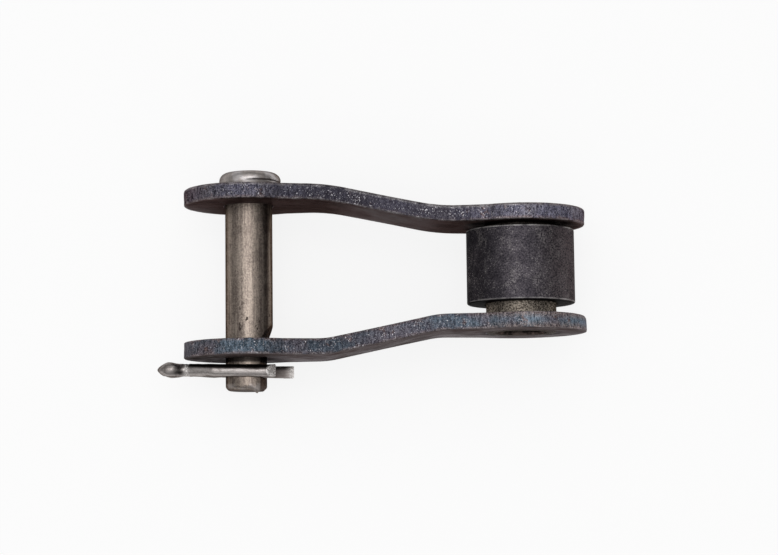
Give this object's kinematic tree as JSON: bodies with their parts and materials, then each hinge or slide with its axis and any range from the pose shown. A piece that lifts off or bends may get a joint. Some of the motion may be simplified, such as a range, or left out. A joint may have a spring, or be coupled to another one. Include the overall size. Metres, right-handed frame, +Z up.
{
  "type": "offset link",
  "caption": "Cranked roller-chain link: bent side plates joined by a bush with a free roller at one end and by a headed pin with a split cotter at the other.",
  "frame": {"origin": "middle of the bush bore, halfway between the plates", "axes": "+X from the pin axis to the bush axis, +Y along the pin to its head, +Z up, with the link lying on the round ends of its plates"},
  "size_m": [0.0652, 0.0333, 0.0198],
  "materials": {
    "plate_steel": "blackened, oiled, sheared edges",
    "bush_steel": "oiled, finely pitted",
    "roller_steel": "blackened, satin",
    "pin_steel": "bare, satin",
    "cotter_steel": "bare, drawn wire"
  },
  "bodies": {
    "frame": {"head_side_plate": "plate_steel", "cotter_side_plate": "plate_steel", "bush": "bush_steel"},
    "roller": {"roller": "roller_steel"},
    "pin": {"connecting_pin": "pin_steel"},
    "cotter": {"split_cotter": "cotter_steel"}
  },
  "joints": [
    {"name": "roller_spin", "type": "hinge", "parent": "frame", "child": "roller", "pos_m": [0, 0, 0], "axis": [0, 1, 0], "continuous": true},
    {"name": "pin_float", "type": "slide", "parent": "frame", "child": "pin", "axis": [0, 1, 0], "range_m": [0, 0.0006]},
    {"name": "cotter_pull", "type": "slide", "parent": "pin", "child": "cotter", "axis": [-0.9898, 0.0297, -0.1391], "range_m": [0, 0.012]}
  ]
}
